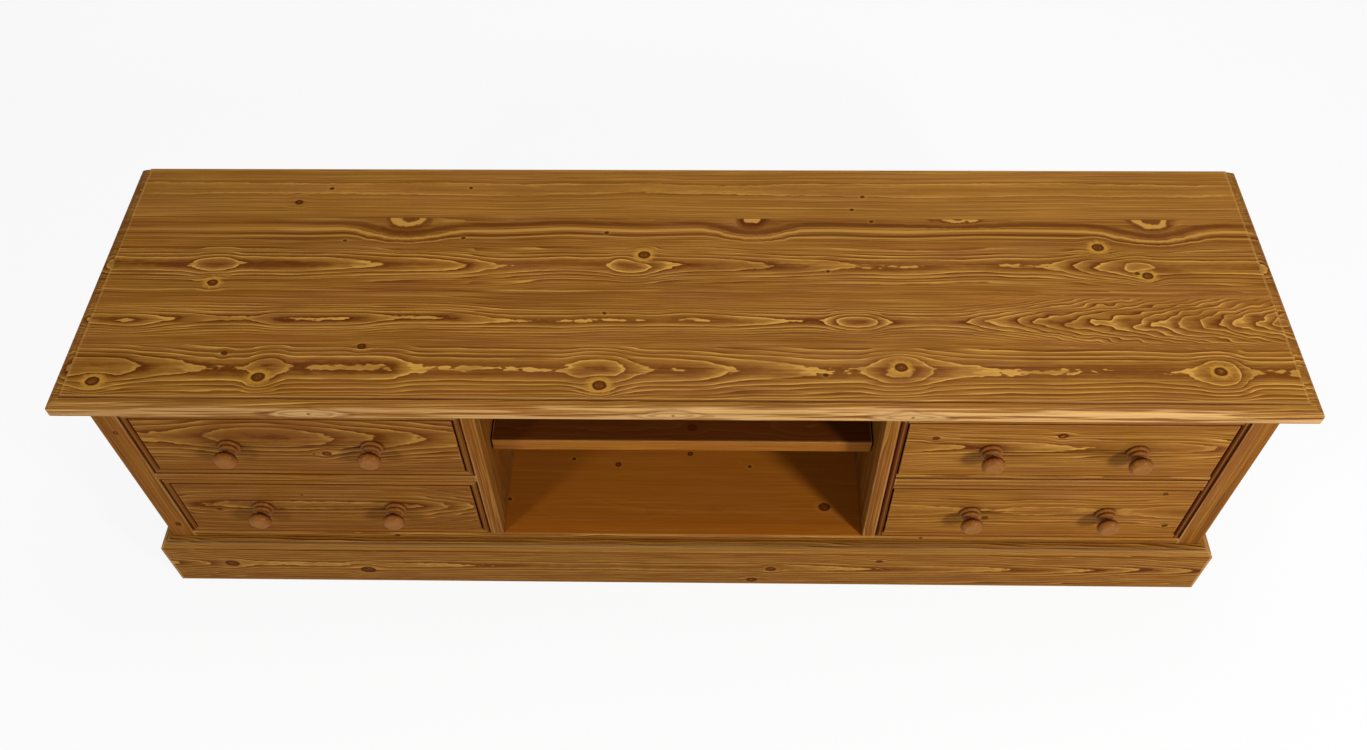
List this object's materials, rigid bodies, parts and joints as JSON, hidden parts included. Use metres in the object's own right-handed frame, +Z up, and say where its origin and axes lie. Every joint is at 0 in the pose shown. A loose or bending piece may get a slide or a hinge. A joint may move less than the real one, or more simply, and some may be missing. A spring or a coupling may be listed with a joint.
{
  "type": "tv cabinet",
  "caption": "Low wide pine television cabinet with stacks of knobbed drawers beside an open bay with a shelf, moulded top and plinth.",
  "frame": {"origin": "on the floor, in the middle of the box that holds the whole cabinet with its knobs", "axes": "X along the width to the right seen from the front, Y from the drawers to the back, Z up"},
  "size_m": [1.6, 0.4332, 0.48],
  "materials": {
    "waxed_pine": "stained and waxed, satin",
    "plain_pine": "bare planed pine",
    "drawer_plywood": "bare plywood",
    "knob_wood": "turned and waxed, satin",
    "pin_brass": "plain brass",
    "screw_steel": "zinc plated"
  },
  "bodies": {
    "carcass": {"side_left": "waxed_pine", "side_right": "waxed_pine", "partition_left": "waxed_pine", "partition_right": "waxed_pine", "stile_outer_left": "waxed_pine", "stile_outer_right": "waxed_pine", "stile_inner_left": "waxed_pine", "stile_inner_right": "waxed_pine", "top_rail": "waxed_pine", "bottom_rail": "waxed_pine", "drawer_rail_left": "waxed_pine", "drawer_rail_right": "waxed_pine", "plinth_front": "waxed_pine", "plinth_left": "waxed_pine", "plinth_right": "waxed_pine", "beading_upper_left": "waxed_pine", "beading_lower_left": "waxed_pine", "beading_right": "waxed_pine", "top_panel": "waxed_pine", "shelf": "waxed_pine", "bottom_panel": "waxed_pine", "back_boards": "plain_pine", "rear_top_rail": "plain_pine", "rear_foot_rail": "plain_pine", "glue_blocks": "plain_pine", "drawer_bearers": "plain_pine", "drawer_guides": "plain_pine", "shelf_pins": "pin_brass"},
    "drawer_upper_left": {"drawer_upper_left_front": "waxed_pine", "drawer_upper_left_side_left": "plain_pine", "drawer_upper_left_side_right": "plain_pine", "drawer_upper_left_back": "plain_pine", "drawer_upper_left_bottom": "drawer_plywood", "drawer_upper_left_knob_left": "knob_wood", "drawer_upper_left_knob_right": "knob_wood", "drawer_upper_left_knob_screws": "screw_steel"},
    "drawer_lower_left": {"drawer_lower_left_front": "waxed_pine", "drawer_lower_left_side_left": "plain_pine", "drawer_lower_left_side_right": "plain_pine", "drawer_lower_left_back": "plain_pine", "drawer_lower_left_bottom": "drawer_plywood", "drawer_lower_left_knob_left": "knob_wood", "drawer_lower_left_knob_right": "knob_wood", "drawer_lower_left_knob_screws": "screw_steel"},
    "drawer_upper_right": {"drawer_upper_right_front": "waxed_pine", "drawer_upper_right_side_left": "plain_pine", "drawer_upper_right_side_right": "plain_pine", "drawer_upper_right_back": "plain_pine", "drawer_upper_right_bottom": "drawer_plywood", "drawer_upper_right_knob_left": "knob_wood", "drawer_upper_right_knob_right": "knob_wood", "drawer_upper_right_knob_screws": "screw_steel"},
    "drawer_lower_right": {"drawer_lower_right_front": "waxed_pine", "drawer_lower_right_side_left": "plain_pine", "drawer_lower_right_side_right": "plain_pine", "drawer_lower_right_back": "plain_pine", "drawer_lower_right_bottom": "drawer_plywood", "drawer_lower_right_knob_left": "knob_wood", "drawer_lower_right_knob_right": "knob_wood", "drawer_lower_right_knob_screws": "screw_steel"}
  },
  "joints": [
    {"name": "drawer_upper_left_slide", "type": "slide", "parent": "carcass", "child": "drawer_upper_left", "axis": [0, -1, 0], "range_m": [0, 0.27]},
    {"name": "drawer_lower_left_slide", "type": "slide", "parent": "carcass", "child": "drawer_lower_left", "axis": [0, -1, 0], "range_m": [0, 0.27]},
    {"name": "drawer_upper_right_slide", "type": "slide", "parent": "carcass", "child": "drawer_upper_right", "axis": [0, -1, 0], "range_m": [0, 0.27]},
    {"name": "drawer_lower_right_slide", "type": "slide", "parent": "carcass", "child": "drawer_lower_right", "axis": [0, -1, 0], "range_m": [0, 0.27]}
  ]
}
